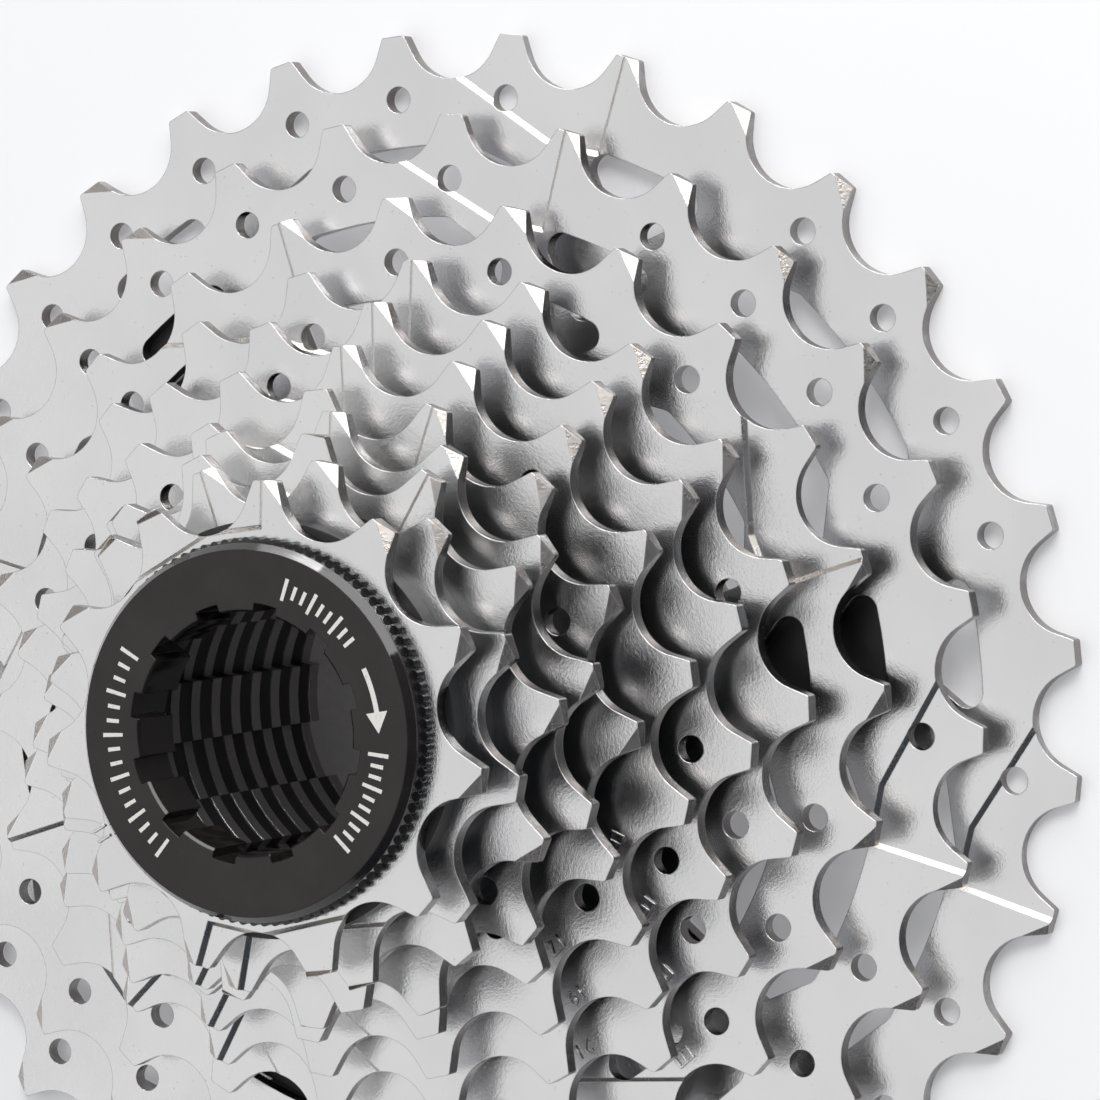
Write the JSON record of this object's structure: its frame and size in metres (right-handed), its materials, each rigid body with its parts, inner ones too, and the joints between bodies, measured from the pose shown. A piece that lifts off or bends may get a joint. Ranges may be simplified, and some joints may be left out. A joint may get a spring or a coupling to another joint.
{
  "type": "bicycle cassette",
  "caption": "Bicycle cassette: a cone of toothed, plated sprockets with black spacers on a splined bore, held by a black notched lockring.",
  "frame": {"origin": "on the cassette's axis, in the plane of the largest sprocket's back face", "axes": "+Z along the axis towards the lockring; the picture looks from -Y and above"},
  "size_m": [0.1306, 0.1306, 0.0434],
  "materials": {
    "plated_steel": "bright nickel plate, lightly polished",
    "black_plastic": "moulded black plastic",
    "rivet_steel": "plain steel",
    "black_washer": "gloss black coating on metal",
    "black_anodised": "black anodised aluminium, polished bevel"
  },
  "bodies": {
    "cassette": {"sprocket_32t": "plated_steel", "sprocket_28t": "plated_steel", "sprocket_24t": "plated_steel", "sprocket_21t": "plated_steel", "sprocket_19t": "plated_steel", "sprocket_17t": "plated_steel", "sprocket_15t": "plated_steel", "sprocket_14t": "plated_steel", "sprocket_13t": "plated_steel", "sprocket_12t": "plated_steel", "sprocket_11t": "plated_steel", "spacer_32_28": "black_plastic", "spacer_28_24": "black_plastic", "spacer_24_21": "black_plastic", "spacer_21_19": "black_plastic", "spacer_19_17": "black_plastic", "spacer_17_15": "black_plastic", "spacer_15_14": "black_plastic", "spacer_14_13": "black_plastic", "spacer_13_12": "black_plastic", "spacer_12_11": "black_plastic", "rivets": "rivet_steel"},
    "washer": {"lock_washer": "black_washer"},
    "lockring": {"lockring": "black_anodised"}
  },
  "joints": [
    {"name": "lockring_lift", "type": "slide", "parent": "cassette", "child": "washer", "axis": [0, 0, 1], "range_m": [0, 0.004]},
    {"name": "lockring_turn", "type": "hinge", "parent": "washer", "child": "lockring", "pos_m": [0, 0, 0.0414], "axis": [0, 0, 1], "range_deg": [0, 1440]}
  ],
  "couplings": [
    {"joint": "lockring_lift", "follows": "lockring_turn", "m_per_rad": 0.00015915}
  ]
}
